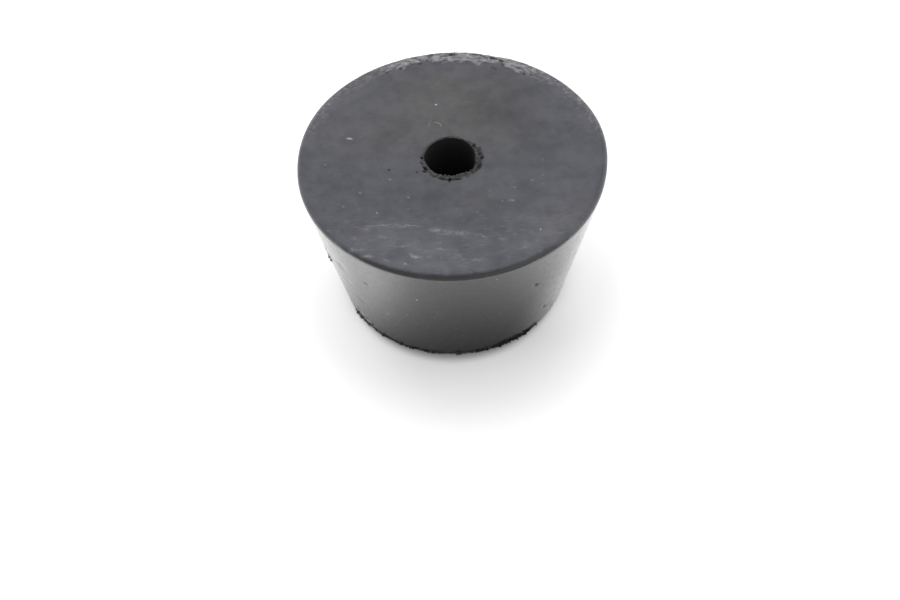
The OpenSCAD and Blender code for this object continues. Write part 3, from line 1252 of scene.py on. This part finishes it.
@dataclass
class Studio:
    """A pale floor, a white surround and one broad soft light above and behind the foot.

    A pair is where something fades in from and where it is full.
    """

    floor_side: float = 6.0
    floor_shade: float = 0.8
    floor_to_camera: float = 1.25
    floor_in_gloss: float = 2.0
    shade_in_gloss: float = 0.36
    shade_place: tuple[float, float, float] = (1.3 * MM, -8.9 * MM, 0.0)
    shade_r: tuple[float, float] = (26 * MM, 7 * MM)
    clear_x: tuple[float, float] = (4 * MM, 10 * MM)
    clear_y: tuple[float, float] = (-18 * MM, -6.5 * MM)
    clear_r: tuple[float, float] = (25 * MM, 20 * MM)
    bright_in_gloss: float = 2.7
    bright_x: tuple[float, float] = (-9 * MM, -21 * MM)
    bright_y: tuple[float, float] = (-9 * MM, -19 * MM)
    surround: float = 0.88
    front_gloss: float = 0.4
    dim_towards: tuple[float, float, float] = (-0.36, -0.67, 0.65)
    dim: tuple[float, float] = (0.48, 0.82)
    front_floor: float = 0.5
    front_y: tuple[float, float] = (-38 * MM, -52 * MM)
    near_lift: float = 1.17
    lift_r: tuple[float, float] = (25 * MM, 17 * MM)
    lift_left: tuple[float, float] = (-4 * MM, -14 * MM)
    lift_right: tuple[float, float] = (7 * MM, 15 * MM)
    lift_back: tuple[float, float] = (-17 * MM, -9 * MM)
    contact_shade: float = 0.42
    contact_place: tuple[float, float, float] = (-0.4 * MM, -2.7 * MM, 0.0)
    contact_r: tuple[float, float] = (14.9 * MM, 16.9 * MM)
    box_side: float = 0.8
    box_distance: float = 0.85
    box_elevation: float = 56.0
    box_azimuth: float = 100.0
    box_radiance: float = 1.4

    def build(self) -> None:
        """Makes the floor, the surround and the light."""
        self.lay_floor()
        self.set_surround()
        self.hang_light()

    @staticmethod
    def ray_tests(graph: Graph) -> tuple[Wire, Wire]:
        """Gives 1 to the camera's rays, and 1 to those by which gloss or glass sees a surface."""
        camera = graph.add("LightPath", {}, "Is Camera Ray")
        return camera, camera.also("Is Glossy Ray") | camera.also("Is Transmission Ray")

    def lay_floor(self) -> None:
        """Lays the floor, which the camera and the gloss see as white where nothing shades it."""
        bpy.ops.object.select_all(action="DESELECT")
        bpy.ops.mesh.primitive_plane_add(size=self.floor_side, location=(0, 0, -0.5 * TOUCH))
        floor = bpy.context.object
        floor.name = "studio_floor"
        made = bpy.data.materials.new("floor_white")
        made.use_nodes = True
        graph = Graph(made.node_tree)
        mix = graph.mix
        camera, gloss = self.ray_tests(graph)
        place = graph.add("TexCoord", {}, "Object")
        x = graph.add("SeparateXYZ", {0: place})
        y = x.also("Y")
        from_axis = graph.vector("LENGTH", place)

        # In the gloss: clear to the right of the foot, and brighter to its left, in front.
        clear = x.between(*self.clear_x) * y.between(*self.clear_y) * from_axis.between(*self.clear_r)
        shaded = graph.vector("DISTANCE", place, self.shade_place).between(*self.shade_r) * (1.0 - clear)
        bright = x.between(*self.bright_x) * y.between(*self.bright_y)
        in_gloss = mix(bright, grey(self.floor_in_gloss), grey(self.bright_in_gloss))
        in_gloss = mix(y.between(*self.front_y), in_gloss, grey(self.front_floor))
        in_gloss = mix(shaded, in_gloss, grey(self.shade_in_gloss))

        # To the camera: a soft shade where the foot stands, and a lift in brightness beside it.
        from_contact = graph.vector("DISTANCE", place, self.contact_place)
        beside = x.between(*self.lift_left) | x.between(*self.lift_right) * y.between(*self.lift_back)
        lift = beside * from_axis.between(*self.lift_r)
        white = mix(lift, grey(self.floor_to_camera), grey(self.floor_to_camera * self.near_lift))
        contact = grey(self.floor_to_camera * self.contact_shade)
        seen = mix(from_contact.between(*self.contact_r), contact, white)

        colour = mix(gloss, mix(camera, grey(self.floor_shade), seen), in_gloss)
        graph.node("OutputMaterial", {"Surface": graph.add("BsdfDiffuse", {"Color": colour})})
        floor.data.materials.append(made)

    def set_surround(self) -> None:
        """Sets the white that the camera and the gloss see, and the softer fill it gives."""
        world = bpy.data.worlds.new("surround")
        bpy.context.scene.world = world
        world.use_nodes = True
        graph = Graph(world.node_tree)
        camera, gloss = self.ray_tests(graph)
        towards = graph.vector("DOT_PRODUCT", graph.add("TexCoord", {}, "Generated"), self.dim_towards)
        strength = (camera | gloss) * (1.0 - self.surround) + self.surround
        strength = strength + towards.between(*self.dim) * gloss * (self.front_gloss - 1.0)
        light = graph.add("Background", {"Strength": strength, "Color": grey(1.0)})
        graph.node("OutputWorld", {"Surface": light})

    def hang_light(self) -> None:
        """Hangs the soft light above and behind the foot, aimed at it."""
        raised, turn = math.radians(self.box_elevation), math.radians(self.box_azimuth)
        level = math.cos(raised)
        towards = Vector((level * math.cos(turn), level * math.sin(turn), math.sin(raised)))
        bpy.ops.object.select_all(action="DESELECT")
        bpy.ops.object.light_add(type="AREA", location=towards * self.box_distance)
        light = bpy.context.object
        light.name = "soft_box"
        light.rotation_euler = towards.to_track_quat("Z", "Y").to_euler()
        light.data.size = self.box_side
        light.data.energy = math.pi * self.box_side**2 * self.box_radiance
        light.visible_camera = False


@dataclass
class Viewpoint:
    """The camera: it looks down on the foot from the front, a little turned."""

    back: float = 141.7 * MM
    above: float = 171.5 * MM
    lens: float = 56.0
    sensor: float = 36.0
    sees_from: float = 0.01
    sees_to: float = 20.0
    tilt_down: float = 51.87
    pan: float = 0.52
    roll: float = 2.93

    def place(self) -> None:
        """Makes the scene's camera."""
        data = bpy.data.cameras.new("viewpoint")
        data.lens = self.lens
        data.sensor_width = self.sensor
        data.clip_start = self.sees_from
        data.clip_end = self.sees_to
        camera = bpy.data.objects.new("viewpoint", data)
        bpy.context.collection.objects.link(camera)
        turned = (
            Matrix.Rotation(math.radians(self.pan), 4, "Z")
            @ Matrix.Rotation(math.radians(90 - self.tilt_down), 4, "X")
            @ Matrix.Rotation(math.radians(-self.roll), 4, "Z")
        )
        camera.rotation_euler = turned.to_euler()
        camera.location = (0, -self.back, self.above)
        bpy.context.scene.camera = camera


def main() -> None:
    """Builds the foot, its finish, the studio and the camera."""
    logging.basicConfig(level=logging.INFO, format="%(name)s: %(message)s")
    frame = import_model()

    sizes = FootSizes.from_frame(frame)
    foot = RubberFoot(sizes).build()
    RubberFinish(sizes).dress(foot)
    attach(foot, BODY)
    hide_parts(NODE)
    LOG.info("%s: %d points, %d faces", foot.name, len(foot.data.vertices), len(foot.data.polygons))

    Studio().build()
    Viewpoint().place()
    LOG.info("studio and viewpoint set")

    bpy.context.scene.view_settings.view_transform = "Standard"


if __name__ == "__main__":
    main()
